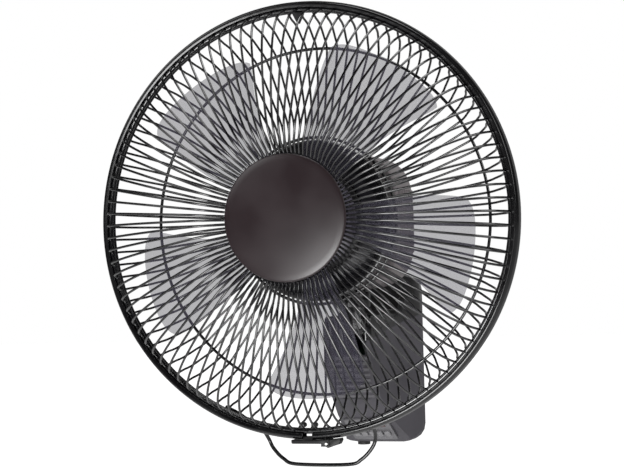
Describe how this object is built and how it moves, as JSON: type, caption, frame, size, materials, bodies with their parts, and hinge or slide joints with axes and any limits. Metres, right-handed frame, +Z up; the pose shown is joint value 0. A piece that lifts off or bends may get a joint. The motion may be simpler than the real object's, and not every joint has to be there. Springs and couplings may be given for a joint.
{
  "type": "wall mounted fan",
  "caption": "Wall mounted fan: wire guards with a round centre badge, translucent five-blade rotor, motor head that tilts and swings on a wall body with buttons.",
  "frame": {"origin": "middle of the wall bracket's back face, on the wall", "axes": "+Z up, +Y into the wall, the fan blows towards -Y, +X to the right of someone facing the fan"},
  "size_m": [0.368, 0.2982, 0.3949],
  "materials": {
    "black_gloss": "gloss black enamel",
    "black_satin": "satin black moulded plastic",
    "brown_satin": "satin dark brown metallic paint on plastic",
    "housing_grey": "dark grey moulded plastic, fine texture",
    "panel_grey": "light grey moulded plastic",
    "blade_grey": "translucent smoke grey plastic, polished",
    "steel": "zinc plated steel",
    "copper": "enamelled copper wire",
    "core": "laminated electrical steel",
    "board": "green circuit board",
    "window": "dark red tinted window"
  },
  "bodies": {
    "wall_unit": {"wall_bracket": "steel", "back_plate": "housing_grey", "housing": "housing_grey", "top_cover": "black_gloss", "tilt_bracket": "steel", "tilt_pin": "steel", "plate_screw_left": "steel", "plate_screw_right": "steel", "control_board": "board", "capacitor": "black_satin", "transformer": "copper", "cord_gland": "black_satin", "control_panel": "panel_grey", "led_window": "window", "receiver_window": "window"},
    "neck": {"neck_arm": "black_gloss", "swing_pin": "steel", "drive_stud": "steel"},
    "head": {"gear_case": "black_satin", "motor_front_shell": "black_gloss", "motor_rear_shell": "brown_satin", "motor_end_plate": "steel", "cover_screw": "steel", "stator_core": "core", "front_winding": "copper", "rear_winding": "copper", "front_bearing": "steel", "rear_bearing": "steel", "guard_nut": "black_satin", "rear_guard": "black_gloss", "front_guard": "black_gloss", "guard_band": "black_gloss", "badge": "brown_satin", "badge_plate": "black_satin", "badge_screw": "steel", "clasp_body": "black_satin", "clasp_pin": "steel", "top_hook": "black_satin", "guard_clip_left": "black_satin", "guard_clip_right": "black_satin", "handle": "black_gloss"},
    "rotor": {"motor_shaft": "steel", "rotor_core": "core", "shaft_pin": "steel", "fan_blade": "blade_grey", "spinner_nut": "black_satin"},
    "crank": {"crank": "steel"},
    "link": {"link_arm": "steel"},
    "lever": {"clasp_lever": "black_satin"},
    "button_1": {"button_1": "panel_grey"},
    "button_2": {"button_2": "panel_grey"},
    "button_3": {"button_3": "panel_grey"},
    "button_4": {"button_4": "panel_grey"},
    "button_5": {"button_5": "panel_grey"}
  },
  "joints": [
    {"name": "head_tilt", "type": "hinge", "parent": "wall_unit", "child": "neck", "pos_m": [0, -0.095, 0.029], "axis": [1, 0, 0], "range_deg": [-15, 35]},
    {"name": "head_swing", "type": "hinge", "parent": "neck", "child": "head", "pos_m": [0, -0.105, 0.085], "axis": [0, 0, 1], "range_deg": [-40, 40]},
    {"name": "blade_spin", "type": "hinge", "parent": "head", "child": "rotor", "pos_m": [0, -0.245, 0.125], "axis": [0, 1, 0], "continuous": true},
    {"name": "crank_turn", "type": "hinge", "parent": "head", "child": "crank", "pos_m": [0.0145, -0.123, 0.088], "axis": [0, 0, 1], "range_deg": [-91, 91]},
    {"name": "link_turn", "type": "hinge", "parent": "crank", "child": "link", "pos_m": [0.0052, -0.123, 0.086], "axis": [0, 0, 1], "range_deg": [-91, 91]},
    {"name": "clasp_open", "type": "hinge", "parent": "head", "child": "lever", "pos_m": [0.0166, -0.238, -0.062], "axis": [0, 1, 0], "range_deg": [0, 70]},
    {"name": "press_1", "type": "slide", "parent": "wall_unit", "child": "button_1", "axis": [0, 0.4813, 0.8766], "range_m": [0, 0.001], "stiffness_N_per_m": 400},
    {"name": "press_2", "type": "slide", "parent": "wall_unit", "child": "button_2", "axis": [0, 0.4813, 0.8766], "range_m": [0, 0.001], "stiffness_N_per_m": 400},
    {"name": "press_3", "type": "slide", "parent": "wall_unit", "child": "button_3", "axis": [0, 0.4813, 0.8766], "range_m": [0, 0.001], "stiffness_N_per_m": 400},
    {"name": "press_4", "type": "slide", "parent": "wall_unit", "child": "button_4", "axis": [0, 0.4813, 0.8766], "range_m": [0, 0.001], "stiffness_N_per_m": 400},
    {"name": "press_5", "type": "slide", "parent": "wall_unit", "child": "button_5", "axis": [0, 0.4813, 0.8766], "range_m": [0, 0.001], "stiffness_N_per_m": 400}
  ],
  "couplings": [
    {"joint": "crank_turn", "follows": "head_swing", "ratio": 2.25},
    {"joint": "link_turn", "follows": "head_swing", "ratio": -2.25}
  ]
}
